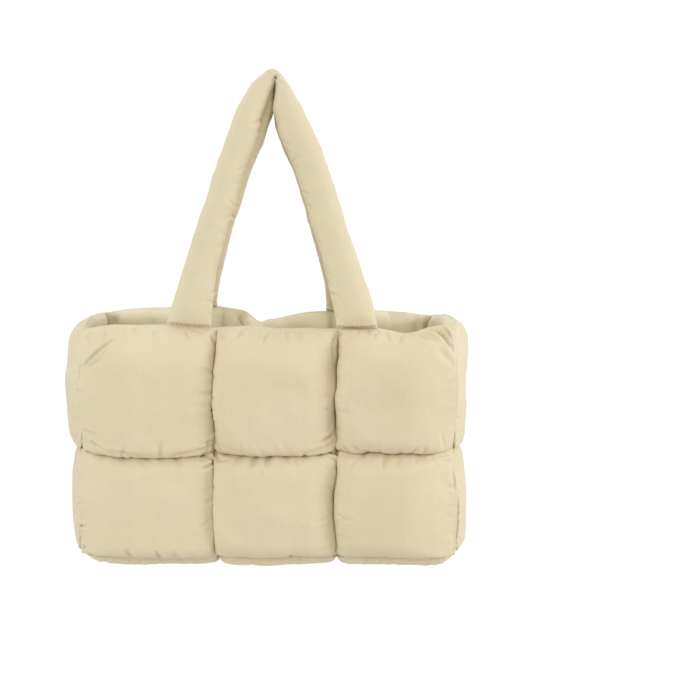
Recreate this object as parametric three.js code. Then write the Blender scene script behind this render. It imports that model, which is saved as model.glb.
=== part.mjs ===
// Quilted shoulder bag: a padded tote sewn from five puffed panels (front, back,
// base and two side gussets) with two stuffed tube handles gathered at one bight.
// Millimetres, +Z up, front towards -Y. The origin is the inside of the handles'
// fold, where the bag hangs.
import * as THREE from "three";

// ---- driving sizes ---------------------------------------------------------
const SEAM_HALF = 1.5; // half the thickness of the sewn layers at a seam
const MITRE_GAP = 0.25; // set-back of each panel from the seam it shares
const CELL_STEPS = 8; // mesh steps across one puff
const PUFF_POWER = 2.6; // how square a puff is: 2 is a dome, more is boxier
const PUFF_FLANK = 0.62; // how steeply a puff leaves its seam
const FACE_SAG = 8; // how far a full puff hangs below its own seams
const SIDE_BOW = 4; // side seams bow out between their sewn corners
const CORNER_LIFT = 9; // base corners are drawn up by this much
const BACK_TAPER = 0.972; // the back of the mouth is this much narrower
const HANDLE_SIDES = 16; // facets round a handle
const HANDLE_GAP = 0.5; // handle end to rim
const HANDLE_MID_X = 1.9; // the handles' fold is this far right of the middle of the front
const HANDLE_FOLD_Y = 11.5; // each handle's centre line, off the middle, at the fold

// ---- short tables ----------------------------------------------------------
// Quilting columns, left to right, and levels, base to rim.
const COLUMNS = [{ x: -171 }, { x: -53 }, { x: 62 }, { x: 172 }];
const LEVELS = [
  { name: "base_seam", z: -446, half_depth: 57 },
  { name: "row_seam", z: -341, half_depth: 58 },
  { name: "rim", z: -228, half_depth: 56 },
];
// The rim's height along the width: the front is nearly level, the back is drawn
// up by its handle and slumps into one fold in the middle.
const FRONT_RIM = [
  { x: -171, z: -231 },
  { x: -140, z: -226.5 },
  { x: -98, z: -226 },
  { x: -53, z: -228.5 },
  { x: -20, z: -226.5 },
  { x: 10, z: -229.5 },
  { x: 61, z: -229 },
  { x: 97, z: -229.5 },
  { x: 124, z: -233.5 },
  { x: 148, z: -227.5 },
  { x: 172, z: -226 },
];
const BACK_RIM = [
  { x: -166, z: -230 },
  { x: -145, z: -222.5 },
  { x: -98, z: -219.5 },
  { x: -58, z: -219 },
  { x: -26, z: -224 },
  { x: -5, z: -237.5 },
  { x: 16, z: -229.5 },
  { x: 42, z: -224.5 },
  { x: 98, z: -223.5 },
  { x: 132, z: -225 },
  { x: 167, z: -229 },
];
// How far each panel's puffs stand out, a row for each level from the base up.
const PUFFS = {
  front: [{ out: 26, in: 7 }, { out: 27, in: 7 }],
  back: [{ out: 26, in: 7 }, { out: 27, in: 7 }],
  left: [{ out: 20, in: 6 }, { out: 23, in: 6 }],
  right: [{ out: 17, in: 6 }, { out: 14, in: 6 }],
  base: [{ out: 25, in: 5 }],
};
// One leg of a handle from its sewn end up to the fold, as horizontal cuts: the
// strap's inner and outer edge, off the handle's middle, and its half depth.
const LEG = [
  { z: -228, inner: 60, outer: 97, depth: 3.5 },
  { z: -222, inner: 58.5, outer: 96, depth: 9 },
  { z: -212, inner: 56, outer: 93, depth: 12.5 },
  { z: -190, inner: 51, outer: 86, depth: 13.5 },
  { z: -158, inner: 42.3, outer: 75.5, depth: 13.5 },
  { z: -121, inner: 31.3, outer: 63.7, depth: 13.5 },
  { z: -85, inner: 19, outer: 51.7, depth: 13.5 },
  { z: -48, inner: 4.7, outer: 38.4, depth: 13 },
  { z: -26, inner: 0.8, outer: 30, depth: 12 },
];
// The fold, as cuts that fan round its inside: the two ends of each cut.
const FOLD = [
  { inner_x: 0.8, inner_z: -17, outer_x: 24.5, outer_z: -17, depth: 11.5 },
  { inner_x: 0.8, inner_z: -9, outer_x: 20.5, outer_z: -7.5, depth: 11 },
  { inner_x: 0.7, inner_z: -3.5, outer_x: 15, outer_z: 0, depth: 10.5 },
  { inner_x: 0.4, inner_z: -0.6, outer_x: 8, outer_z: 6.5, depth: 10 },
];
const FOLD_TOP = { inner_x: 0, inner_z: 0, outer_x: 0, outer_z: 9.2, depth: 10 };
const LEG_STEPS = 14; // cuts along one leg

// ---- interpolation ---------------------------------------------------------
// A smooth curve through a table's rows that doesn't overshoot them.
function through(rows, key, value) {
  const n = rows.length;
  const slope = rows.slice(1).map((r, i) => (r[value] - rows[i][value]) / (r[key] - rows[i][key]));
  const tangent = rows.map((_, i) => {
    if (i === 0) return slope[0];
    if (i === n - 1) return slope[n - 2];
    const a = slope[i - 1], b = slope[i];
    return a * b <= 0 ? 0 : (2 * a * b) / (a + b);
  });
  return (at) => {
    let i = 0;
    while (i < n - 2 && at > rows[i + 1][key]) i++;
    const w = rows[i + 1][key] - rows[i][key];
    const t = THREE.MathUtils.clamp((at - rows[i][key]) / w, 0, 1);
    const t2 = t * t, t3 = t2 * t;
    return (
      (2 * t3 - 3 * t2 + 1) * rows[i][value] + (t3 - 2 * t2 + t) * w * tangent[i] +
      (3 * t2 - 2 * t3) * rows[i + 1][value] + (t3 - t2) * w * tangent[i + 1]
    );
  };
}
const lerp = THREE.MathUtils.lerp;
// A value of a table's column at a fractional row.
function between(rows, at, value) {
  const i = Math.min(Math.floor(at), rows.length - 2);
  return lerp(rows[i][value], rows[i + 1][value], at - i);
}

// ---- the seam net ----------------------------------------------------------
// A point on the front (side -1) or back (side 1) seam net. u runs over the
// columns, w over the levels.
const rimHeight = { "-1": through(FRONT_RIM, "x", "z"), 1: through(BACK_RIM, "x", "z") };
function net(side, u, w) {
  const bow = SIDE_BOW * Math.sin(Math.PI * w) ** 2;
  const edge = u < 1 ? u - 1 : u > 2 ? u - 2 : 0;
  const taper = side > 0 && w > 1 ? lerp(1, BACK_TAPER, w - 1) : 1;
  const x = (between(COLUMNS, u, "x") + edge * bow) * taper;
  const far = Math.abs(x) / COLUMNS[3].x;
  const low = LEVELS[0].z + CORNER_LIFT * Math.min(1, far) ** 6;
  const z = w <= 1 ? lerp(low, LEVELS[1].z, w) : lerp(LEVELS[1].z, rimHeight[side](x), w - 1);
  return new THREE.Vector3(x, side * between(LEVELS, w, "half_depth"), z);
}

// ---- panels ----------------------------------------------------------------
const steps = Array.from({ length: CELL_STEPS + 1 }, (_, k) => 0.5 * (1 - Math.cos((Math.PI * k) / CELL_STEPS)));
// Mesh lines over a number of puffs, closest together at the seams.
const lines = (cells) => [...Array(cells).keys()].flatMap((c) => steps.slice(0, -1).map((s) => c + s)).concat(cells);
const swell = (s, power, flank) => (1 - Math.abs(2 * s - 1) ** power) ** flank;

// A quilted panel as one closed solid. mid(u, v) is its seam net, normal its
// outward side, and edges give the outward side of the panel across each edge.
function panel({ name, columns, rows, mid, normal, edges, puffs, sag }) {
  const us = lines(columns), vs = lines(rows);
  const outer = [], inner = [];
  vs.forEach((v, j) => us.forEach((u, i) => {
    const row = puffs[Math.min(Math.floor(v), rows - 1)];
    const s = u - Math.floor(u), t = v - Math.floor(v);
    const full = swell(s, PUFF_POWER, PUFF_FLANK) * swell(t, PUFF_POWER, PUFF_FLANK);
    const dish = swell(s, 2, 1) * swell(t, 2, 1);
    const m = mid(u, v);
    const o = m.clone().addScaledVector(normal, SEAM_HALF + row.out * full);
    const n = m.clone().addScaledVector(normal, -SEAM_HALF - row.in * dish);
    o.z -= sag * full;
    const across = [i === 0 && edges.start, i === us.length - 1 && edges.end, j === 0 && edges.low, j === vs.length - 1 && edges.high];
    across.filter(Boolean).forEach((side) => {
      o.addScaledVector(side, SEAM_HALF - MITRE_GAP);
      n.addScaledVector(side, -SEAM_HALF - MITRE_GAP);
    });
    outer.push(o);
    inner.push(n);
  }));
  const w = us.length, h = vs.length, count = w * h;
  const index = [];
  // u and v run so that their cross product is the outward side, or its opposite.
  const du = mid(us[w - 1], 0).sub(mid(0, 0)), dv = mid(0, vs[h - 1]).sub(mid(0, 0));
  const right = du.cross(dv).dot(normal) > 0;
  const tri = (a, b, c) => (right ? index.push(a, b, c) : index.push(a, c, b));
  for (let j = 0; j < h - 1; j++)
    for (let i = 0; i < w - 1; i++) {
      const a = j * w + i, b = a + 1, c = a + w, d = c + 1;
      tri(a, b, d), tri(a, d, c);
      tri(count + a, count + d, count + b), tri(count + a, count + c, count + d);
    }
  const wall = (a, b) => (tri(a, count + b, b), tri(a, count + a, count + b));
  for (let i = 0; i < w - 1; i++) wall(i, i + 1), wall((h - 1) * w + i + 1, (h - 1) * w + i);
  for (let j = 0; j < h - 1; j++) wall((j + 1) * w, j * w), wall(j * w + w - 1, (j + 1) * w + w - 1);
  return solid(name, [...outer, ...inner], index);
}

// ---- handles ---------------------------------------------------------------
// A stuffed handle on the front (side -1) or back (side 1) of the mouth.
function handle(name, side) {
  const inner = through(LEG, "z", "inner"), outer = through(LEG, "z", "outer"), depth = through(LEG, "z", "depth");
  const foot = LEG[0].z, top = LEG[LEG.length - 1].z;
  // Cut heights: close together where the strap swells out of its sewn end.
  const heights = Array.from({ length: LEG_STEPS + 1 }, (_, k) => lerp(foot, top, (k / LEG_STEPS) ** 1.35));
  const leg = heights.map((z) => ({ inner_x: inner(z), inner_z: z, outer_x: outer(z), outer_z: z, depth: depth(z) }));
  const half = [...leg, ...FOLD];
  const cuts = [
    ...half.map((c) => ({ ...c, hand: -1 })),
    { ...FOLD_TOP, hand: -1 },
    ...half.map((c) => ({ ...c, hand: 1 })).reverse(),
  ];
  const footY = LEVELS[2].half_depth;
  const leanY = (z) => side * lerp(HANDLE_FOLD_Y, footY, THREE.MathUtils.clamp(z / foot, 0, 1));
  const points = [], index = [];
  cuts.forEach((c, k) => {
    const ends = k === 0 || k === cuts.length - 1;
    for (let q = 0; q < HANDLE_SIDES; q++) {
      const turn = (2 * Math.PI * q) / HANDLE_SIDES;
      // The first point is the strap's outer edge, half way round its inner edge.
      const along = (1 + Math.cos(turn)) / 2;
      const x = c.hand * lerp(c.inner_x, c.outer_x, along);
      let z = lerp(c.inner_z, c.outer_z, along);
      const lift = rimHeight[side](x + HANDLE_MID_X) + HANDLE_GAP;
      if (ends) z = lift;
      // The lowest cuts follow the rim that the strap is sewn to.
      else z += (lift - foot) * THREE.MathUtils.clamp(1 - (z - foot) / 30, 0, 1);
      points.push(new THREE.Vector3(x, leanY(z) + c.depth * Math.sin(turn), z));
    }
  });
  const n = HANDLE_SIDES, last = (cuts.length - 1) * n;
  for (let k = 0; k < cuts.length - 1; k++)
    for (let q = 0; q < n; q++) {
      const a = k * n + q, b = k * n + ((q + 1) % n);
      index.push(a, b + n, b, a, a + n, b + n);
    }
  for (let q = 1; q < n - 1; q++) index.push(0, q, q + 1, last, last + q + 1, last + q);
  return solid(name, points, index);
}

// ---- solids ----------------------------------------------------------------
const FABRIC = { color: 0xded0b2, roughness: 0.7, metalness: 0 }; // satin woven nylon
function solid(name, points, index) {
  const geometry = new THREE.BufferGeometry().setFromPoints(points);
  geometry.setIndex(index);
  geometry.computeVertexNormals();
  const mesh = new THREE.Mesh(geometry, new THREE.MeshStandardMaterial(FABRIC));
  mesh.name = name;
  return mesh;
}

// ---- assembly --------------------------------------------------------------
const X = new THREE.Vector3(1, 0, 0), Y = new THREE.Vector3(0, 1, 0), Z = new THREE.Vector3(0, 0, 1);
const minus = (v) => v.clone().negate();
const face = (side) => (u, w) => net(side, u, w);
const gusset = (u) => (v, w) => net(-1, u, w).lerp(net(1, u, w), v);
const underside = (u, v) => net(-1, u, 0).lerp(net(1, u, 0), v);
const faceEdges = { start: minus(X), end: X, low: minus(Z) };
const gussetEdges = { start: minus(Y), end: Y, low: minus(Z) };

const bag = new THREE.Group();
bag.name = "quilted_shoulder_bag";
const body = new THREE.Group();
body.position.x = -HANDLE_MID_X;
body.add(
  panel({ name: "front_panel", columns: 3, rows: 2, mid: face(-1), normal: minus(Y), edges: faceEdges, puffs: PUFFS.front, sag: FACE_SAG }),
  panel({ name: "back_panel", columns: 3, rows: 2, mid: face(1), normal: Y, edges: faceEdges, puffs: PUFFS.back, sag: FACE_SAG }),
  panel({ name: "left_gusset", columns: 1, rows: 2, mid: gusset(0), normal: minus(X), edges: gussetEdges, puffs: PUFFS.left, sag: FACE_SAG }),
  panel({ name: "right_gusset", columns: 1, rows: 2, mid: gusset(3), normal: X, edges: gussetEdges, puffs: PUFFS.right, sag: FACE_SAG }),
  panel({ name: "base_panel", columns: 3, rows: 1, mid: underside, normal: minus(Z), puffs: PUFFS.base, sag: 0,
    edges: { start: minus(X), end: X, low: minus(Y), high: Y } }),
);
const handles = new THREE.Group();
handles.add(handle("front_handle", -1), handle("rear_handle", 1));
bag.add(body, handles);
export default bag;
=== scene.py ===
import math

import bpy
import numpy as np
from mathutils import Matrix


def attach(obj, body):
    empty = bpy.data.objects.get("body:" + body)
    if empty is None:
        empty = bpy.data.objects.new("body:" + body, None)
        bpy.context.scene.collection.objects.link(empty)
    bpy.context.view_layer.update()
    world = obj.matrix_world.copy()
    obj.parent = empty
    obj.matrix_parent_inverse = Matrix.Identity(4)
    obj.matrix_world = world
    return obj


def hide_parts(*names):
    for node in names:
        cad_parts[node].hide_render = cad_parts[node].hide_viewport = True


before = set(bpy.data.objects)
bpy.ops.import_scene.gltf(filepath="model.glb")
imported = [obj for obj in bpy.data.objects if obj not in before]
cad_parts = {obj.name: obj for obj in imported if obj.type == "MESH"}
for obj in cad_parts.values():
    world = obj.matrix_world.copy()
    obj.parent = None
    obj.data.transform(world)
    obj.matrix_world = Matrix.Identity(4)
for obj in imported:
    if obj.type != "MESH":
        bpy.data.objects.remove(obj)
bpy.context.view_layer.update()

MM = 0.001

# ---------------------------------------------------------------------------
# Sizes of the bag, in millimetres, in the row frame: +Z up, front towards -Y,
# origin at the inside of the handles' fold.
# ---------------------------------------------------------------------------
BODY_SHIFT = -1.9                       # the front's middle against the fold
COLUMN_X = (-171.0, -48.5, 63.5, 170.5)  # quilting columns, left to right
LEVEL_Z = (-442.5, -341.0, -228.0)       # base seam, row seam, rim
LEVEL_DEPTH = (57.0, 58.0, 56.0)         # half depth at those levels
LEFT_OUT = (5.0, 3.0, 1.0)               # the left corner seams stand this much further out
RIGHT_OUT = (2.8, 0.0, 0.0)              # and the right ones
LEFT_WRAP = 4.0                          # and the front runs this far round the corner to meet them
SIDE_BOW = ((3.0, 3.0), (1.4, 0.5))      # the left and right corner seams bow out between the pinches: lower and upper row
CORNER_OUT = 12.0                        # corner seams stand forward between the pinches
CORNER_LIFT = 2.5                        # and lift at the base
BACK_TAPER = 0.972
GUSSET_LIFT = (4.0, 5.5)                # left and right sides' rims rise this much in the middle
GUSSET_BOW = ((1.5, 2.0, 2.0), (1.2, 0.5, 4.5))  # and their seams stand out in the middle: base, row, rim

FRONT_RIM = ((-171, -231), (-140, -226.5), (-98, -226), (-53, -228.5), (-20, -226.5), (10, -229.5),
             (61, -229), (97, -229.5), (124, -233.5), (148, -227.5), (172, -226))
BACK_RIM = ((-168, -225), (-145, -221.5), (-98, -219.5), (-58, -219), (-26, -224), (-10, -235), (-3, -232.5),
            (6, -231), (16, -228.5), (42, -224.5), (98, -223.5), (132, -225), (167, -229))

# One leg of a handle from its sewn end to the fold: height, inner and outer edge, half depth.
LEG = ((-228, 60, 97, 0.9), (-225.5, 59.6, 96.6, 4.5), (-221, 58.8, 95.4, 8.5), (-212, 57, 93, 12), (-190, 52.6, 86, 13.5),
       (-158, 44.6, 75.5, 13.5), (-121, 33.4, 63.7, 13.5), (-85, 21.8, 51.7, 13.5), (-48, 6.3, 38.4, 13),
       (-26, 0.8, 30, 12))
# The rear handle's legs run straight down inside at the foot; the front one's left leg is turned a little
# and shows less of its inner side: height, inner edge moved out by.
REAR_TURN = ((-228, -4.5), (-222, -3.5), (-212, -1.8), (-200, -0.4), (-185, 0.0), (10, 0.0))
FRONT_TURN = ((-228, -4.0), (-214, -2.0), (-190, 0.6), (-150, 2.4), (-110, 3.8), (-80, 4.8), (-62, 5.6), (-38, 7.0), (-20, 4.6),
              (-10, 2.6), (0, 0.8), (10, 0.0))
# The fold: cuts that fan round its inside, as inner x, z, outer x, z and half depth.
FOLD = ((0.8, -17, 24.5, -17, 11.5), (0.8, -9, 20.5, -7.5, 11), (0.7, -3.5, 15, 0, 10.5),
        (0.4, -0.6, 8, 4.9, 10))
FOLD_TOP = (0, 0, 0, 6.9, 10)
# The shoulders of the fold are not alike: height, outer edge drawn in by.
LEFT_SHOULDER = ((-30, 0.0), (-14, 0.6), (-4, 2.2), (3.5, 4.0), (6, 2.0), (7, 0.0))
RIGHT_SHOULDER = ((-62, 0.0), (-40, 2.2), (-20, 3.6), (-8, 6.2), (-2, 7.6), (3, 5.0), (5.5, 2.0), (7, 0.0))
HANDLE_FOLD_Y = 11.5
HANDLE_GAP = 0.5

COARSE, FINE, KEEP = 15, 60, 2           # sheet steps across a puff: first pass, second pass, final split
INNER_STEPS = 40                         # final steps across a puff on the inside


# ---------------------------------------------------------------------------
# Small tools
# ---------------------------------------------------------------------------
def smooth_table(rows):
    """A curve through (x, y) rows that doesn't overshoot them."""
    xs, ys = (np.array(c, float) for c in zip(*rows))
    slope = np.diff(ys) / np.diff(xs)
    tangent = np.zeros(len(xs))
    tangent[0], tangent[-1] = slope[0], slope[-1]
    a, b = slope[:-1], slope[1:]
    same = a * b > 0
    tangent[1:-1][same] = (2 * a * b / np.where(same, a + b, 1))[same]

    def at(x):
        x = np.asarray(x, float)
        i = np.clip(np.searchsorted(xs, x, side="right") - 1, 0, len(xs) - 2)
        w = xs[i + 1] - xs[i]
        t = np.clip((x - xs[i]) / w, 0, 1)
        return ((2 * t**3 - 3 * t**2 + 1) * ys[i] + (t**3 - 2 * t**2 + t) * w * tangent[i]
                + (3 * t**2 - 2 * t**3) * ys[i + 1] + (t**3 - t**2) * w * tangent[i + 1])
    return at


def lattice(seed):
    return np.random.default_rng(seed).uniform(-1, 1, (24, 24, 24))


def noise(p, size, seed):
    """Smooth noise from -1 to 1 at points p (..., 3), with lumps of about that size."""
    table = lattice(seed)
    q = np.asarray(p, float) / size + 101.37
    i = np.floor(q).astype(int)
    f = q - i
    f = f * f * f * (f * (f * 6 - 15) + 10)
    out = 0.0
    for dx in (0, 1):
        for dy in (0, 1):
            for dz in (0, 1):
                w = ((f[..., 0] if dx else 1 - f[..., 0]) * (f[..., 1] if dy else 1 - f[..., 1])
                     * (f[..., 2] if dz else 1 - f[..., 2]))
                out = out + w * table[(i[..., 0] + dx) % 24, (i[..., 1] + dy) % 24, (i[..., 2] + dz) % 24]
    return out


def spline_matrix(n, k):
    """Takes n + 1 values at even steps to n * k + 1 values on their natural cubic curve."""
    m = np.zeros((n + 1, n + 1))
    r = np.zeros((n + 1, n + 1))
    m[0, 0] = m[n, n] = 1
    for i in range(1, n):
        m[i, i - 1:i + 2] = (1, 4, 1)
        r[i, i - 1:i + 2] = (6, -12, 6)
    curve = np.linalg.solve(m, r)
    out = np.zeros((n * k + 1, n + 1))
    eye = np.eye(n + 1)
    for q in range(n * k + 1):
        i = min(q // k, n - 1)
        t = q / k - i
        out[q] = ((1 - t) * eye[i] + t * eye[i + 1]
                  + ((1 - t)**3 - (1 - t)) / 6 * curve[i] + (t**3 - t) / 6 * curve[i + 1])
    return out


def refine(p, cols, rows, k):
    """Splits each step of a grid k ways, puff by puff, so that the seams stay sharp."""
    n = (p.shape[1] - 1) // cols
    w = spline_matrix(n, k)
    out = np.zeros((rows * n * k + 1, cols * n * k + 1, p.shape[2]))
    for r in range(rows):
        for c in range(cols):
            cell = p[r * n:(r + 1) * n + 1, c * n:(c + 1) * n + 1]
            out[r * n * k:(r + 1) * n * k + 1, c * n * k:(c + 1) * n * k + 1] = np.einsum(
                "ij,jkd,lk->ild", w, cell, w)
    return out


def grid_normals(p):
    du = np.empty_like(p)
    dv = np.empty_like(p)
    du[:, 1:-1] = p[:, 2:] - p[:, :-2]
    du[:, 0], du[:, -1] = p[:, 1] - p[:, 0], p[:, -1] - p[:, -2]
    dv[1:-1] = p[2:] - p[:-2]
    dv[0], dv[-1] = p[1] - p[0], p[-1] - p[-2]
    n = np.cross(du, dv)
    return n / (np.linalg.norm(n, axis=-1, keepdims=True) + 1e-9)


# ---------------------------------------------------------------------------
# The seam net
# ---------------------------------------------------------------------------
RIM = {-1: smooth_table(FRONT_RIM), 1: smooth_table(BACK_RIM)}


def along(values, t):
    return np.interp(t, np.arange(len(values)), values)


def net(side, u, w):
    """Points of the front (-1) or back (1) seam net; u runs over the columns, w over the levels."""
    u, w = np.broadcast_arrays(np.asarray(u, float), np.asarray(w, float))
    bow = np.where(u < 1.5, np.where(w < 1, *SIDE_BOW[0]), np.where(w < 1, *SIDE_BOW[1])) * np.sin(np.pi * w)**2
    edge = np.where(u < 1, u - 1, np.where(u > 2, u - 2, 0))
    taper = np.where((side > 0) & (w > 1), 1 + (BACK_TAPER - 1) * (w - 1), 1)
    left, right = np.clip(1 - u, 0, 1), np.clip(u - 2, 0, 1)
    x = (along(COLUMN_X, u) + edge * bow - along(LEFT_OUT, w) * left + along(RIGHT_OUT, w) * right) * taper
    far = np.minimum(1, np.abs(x) / COLUMN_X[3])
    low = LEVEL_Z[0] + CORNER_LIFT * far**10
    z = np.where(w <= 1, low + (LEVEL_Z[1] - low) * w,
                 LEVEL_Z[1] + (RIM[side](x) - LEVEL_Z[1]) * (w - 1))
    corner = np.clip(np.maximum(1 - u, u - 2), 0, 1)**4
    fore = np.where(w < 0.5, 1 - 0.35 * (1 - 2 * np.minimum(w, 0.5))**2, np.abs(np.sin(np.pi * w))**1.2)
    y = along(LEVEL_DEPTH, w) - LEFT_WRAP * left**5 + CORNER_OUT * corner * fore
    return np.stack([x + BODY_SHIFT, side * y, z], -1)


def unsteady(p):
    """Hand-sewn seams wander a little."""
    shift = np.stack([noise(p, 38, s) * 1.1 + noise(p, 13, s + 7) * 0.45 for s in (11, 12, 13)], -1)
    return p + shift


# ---------------------------------------------------------------------------
# Cloth: a grid of stiff threads pushed out by its filling
# ---------------------------------------------------------------------------
def pull(a, b, rest, wa, wb, stretch, crush):
    d = b - a
    n = np.sqrt((d * d).sum(-1))
    c = n - rest
    s = (np.where(c > 0, stretch, crush) * c / (n * (wa + wb) + 1e-9))[..., None] * d
    a += wa[..., None] * s
    b -= wb[..., None] * s


def relax(p, free, rest_u, rest_v, rest_a, rest_b, push, fall, drift, keep_side, rounds, crush, bend, seam_u, seam_v):
    p = p.copy()
    v = np.zeros_like(p)
    w = free.astype(float)
    for _ in range(rounds):
        v = 0.8 * v + push[..., None] * grid_normals(p)
        v[..., 0] -= drift
        v[..., 1] -= fall
        q = p + v * w[..., None]
        for turn in (0, 1):
            for s in (0, 1):
                pull(q[:, s:-1:2], q[:, s + 1::2], rest_u[:, s::2], w[:, s:-1:2], w[:, s + 1::2], 1.0, crush)
                pull(q[s:-1:2], q[s + 1::2], rest_v[s::2], w[s:-1:2], w[s + 1::2], 1.0, crush)
        for s in (0, 1):
            pull(q[s:-1:2, :-1], q[s + 1::2, 1:], rest_a[s::2], w[s:-1:2, :-1], w[s + 1::2, 1:], 0.12, 0.04)
            pull(q[s:-1:2, 1:], q[s + 1::2, :-1], rest_b[s::2], w[s:-1:2, 1:], w[s + 1::2, :-1], 0.12, 0.04)
        bu = (q[:, :-2] - 2 * q[:, 1:-1] + q[:, 2:]) * seam_u[:, 1:-1, None]
        bv = (q[:-2] - 2 * q[1:-1] + q[2:]) * seam_v[1:-1, :, None]
        f = np.zeros_like(q)
        f[:, :-2] += bu; f[:, 1:-1] -= 2 * bu; f[:, 2:] += bu
        f[:-2] += bv; f[1:-1] -= 2 * bv; f[2:] += bv
        q -= bend * f * w[..., None]
        keep_side(q)
        v = q - p
        p = q
    return p


def cell_of(count, n):
    """For grid line i: its puff, the line numbers of that puff's two seams, and whether it is on a seam."""
    i = np.arange(count * n + 1)
    c = np.minimum(i // n, count - 1)
    return c, c * n, (c + 1) * n, i % n == 0


def sheet(mid, cols, rows, n, start, spec, seed):
    """One quilted sheet in panel axes (along, up, out), relaxed. mid is its seam net at n steps a puff."""
    ci, il, ir, su = cell_of(cols, n)
    cj, jl, jr, sv = cell_of(rows, n)
    nv, nu = mid.shape[:2]
    s = (np.arange(nu) - il) / n
    t = (np.arange(nv) - jl) / n
    ss, tt = np.meshgrid(s, t)
    pinned = su[None, :] | sv[:, None]
    free = ~pinned
    lump = noise(mid + seed * 57.3, 34, 5 + seed) * 0.6 + noise(mid + seed * 31.1, 15, 6 + seed) * 0.4
    # How high the filling carries the cloth.
    full = spec["rise"][cj][:, None] * (
        1 - spec["dome"][0] * (2 * ss - 1)**2 - spec["dome"][1] * (2 * tt - 1)**2) * (1 + 0.07 * lump)
    slope = np.ones((1, nu))
    for far, (wide, drop, power) in ((s, spec["slope_low"]), (1 - s, spec["slope_high"])):
        k = np.clip(1 - far / np.array(wide)[ci], 0, 1)
        power = np.array(power)[ci]
        slope = slope * (1 - np.array(drop)[ci] * np.where(power > 0, k**power, k * k * (3 - 2 * k)))[None, :]
    full = full * slope
    wide, power = spec["slope_foot"]
    full = full * np.where(cj == 0, 1 - np.clip(1 - t / wide, 0, 1)**power, 1)[:, None]
    # Fabric to spare across the puff, eased towards the seams.
    near_v = np.minimum(tt, 1 - tt)
    near_u = np.minimum(ss, 1 - ss)
    ease = lambda x, far=spec["ease"]: np.clip(x / far, 0, 1)**0.8
    rim_ease = np.where((cj[:, None] == rows - 1) & (tt > 0.5), spec["ease_top"], spec["ease"])
    end = np.minimum(np.arange(nu), nu - 1 - np.arange(nu)) / n
    taut = 0.15 + 0.85 * np.clip(end / spec["taut"], 0, 1)
    ex_u = (np.array(spec["spare"][0])[ci] * taut)[None, :] * np.ones((nv, 1))
    ex_v = np.array(spec["spare"][1])[cj][:, None] * (0.3 + 0.7 * slope)
    cross, level = np.array(spec["gather"][0]), np.array(spec["gather"][1])
    gu = np.where(ss < 0.5, cross[ci][None, :], cross[ci + 1][None, :])
    gv = np.where(tt < 0.5, level[cj][:, None], level[cj + 1][:, None])
    # More is gathered in where two inner seams cross.
    inner_u = (ci + np.round(s) > 0) & (ci + np.round(s) < cols)
    inner_v = (cj + np.round(t) > 0) & (cj + np.round(t) < rows)
    crossing = spec["crossing"] * np.exp(-(near_u**2 + near_v**2) / 0.13**2) * inner_u[None, :] * inner_v[:, None]
    over_u = 1 + gv + (ex_u - gv) * ease(near_v, rim_ease) + spec["uneven"] * lump + crossing
    over_v = 1 + gu + (ex_v - gu) * ease(near_u) + spec["uneven"] * lump + crossing
    dist = lambda a, b: np.sqrt(((a - b)**2).sum(-1))
    rest_u = dist(mid[:, 1:], mid[:, :-1]) * 0.5 * (over_u[:, 1:] + over_u[:, :-1])
    rest_v = dist(mid[1:], mid[:-1]) * 0.5 * (over_v[1:] + over_v[:-1])
    mean = 0.5 * (over_u + over_v)
    rest_a = dist(mid[1:, 1:], mid[:-1, :-1]) * mean[1:, 1:]
    rest_b = dist(mid[1:, :-1], mid[:-1, 1:]) * mean[1:, 1:]
    stage = 0 if n == COARSE else 1
    push = spec["push"][stage] * (1 + spec["heavy"] * (0.5 - tt) + 0.3 * lump)
    base = mid[..., 2]
    gap = spec["gap"]
    edge = 1e6
    low_a, high_a = np.where(ci == 0, mid[:, :1, 0], -edge), np.where(ci == cols - 1, mid[:, -1:, 0], edge)
    low_b, high_b = np.where((cj == 0)[:, None], mid[:1, :, 1], -edge), np.where((cj == rows - 1)[:, None], mid[-1:, :, 1], edge)
    (la, ra), (lb, rb) = spec["lean"]["along"], spec["lean"]["up"]
    reach = np.arange(1, n // 3)

    def keep_side(q):
        h = np.clip(q[..., 2] - base, 0, None)
        q[..., 2] -= np.where(free, 0.35 * np.clip(h - full, 0, None), 0)
        h = np.minimum(h, spec["touch"])
        q[..., 0] = np.where(free, np.clip(q[..., 0], low_a + la * h + gap, high_a + ra * h - gap), q[..., 0])
        q[..., 1] = np.where(free, np.clip(q[..., 1], low_b + lb * h + gap, high_b + rb * h - gap), q[..., 1])
        q[..., 2] = np.where(free, np.maximum(q[..., 2], base + spec["floor"]), q[..., 2])
        # Neighbouring puffs press on each other at the seam between them.
        for c in range(1, cols):
            a, b = c * n - reach, c * n + reach
            over = np.clip(q[:, a, 0] - q[:, b, 0] + 2 * gap, 0, None) * 0.5
            q[:, a, 0] -= over * free[:, a]
            q[:, b, 0] += over * free[:, b]
        for r in range(1, rows):
            a, b = r * n - reach, r * n + reach
            over = np.clip(q[a, :, 1] - q[b, :, 1] + 2 * gap, 0, None) * 0.5
            q[a, :, 1] -= over * free[a]
            q[b, :, 1] += over * free[b]

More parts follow.
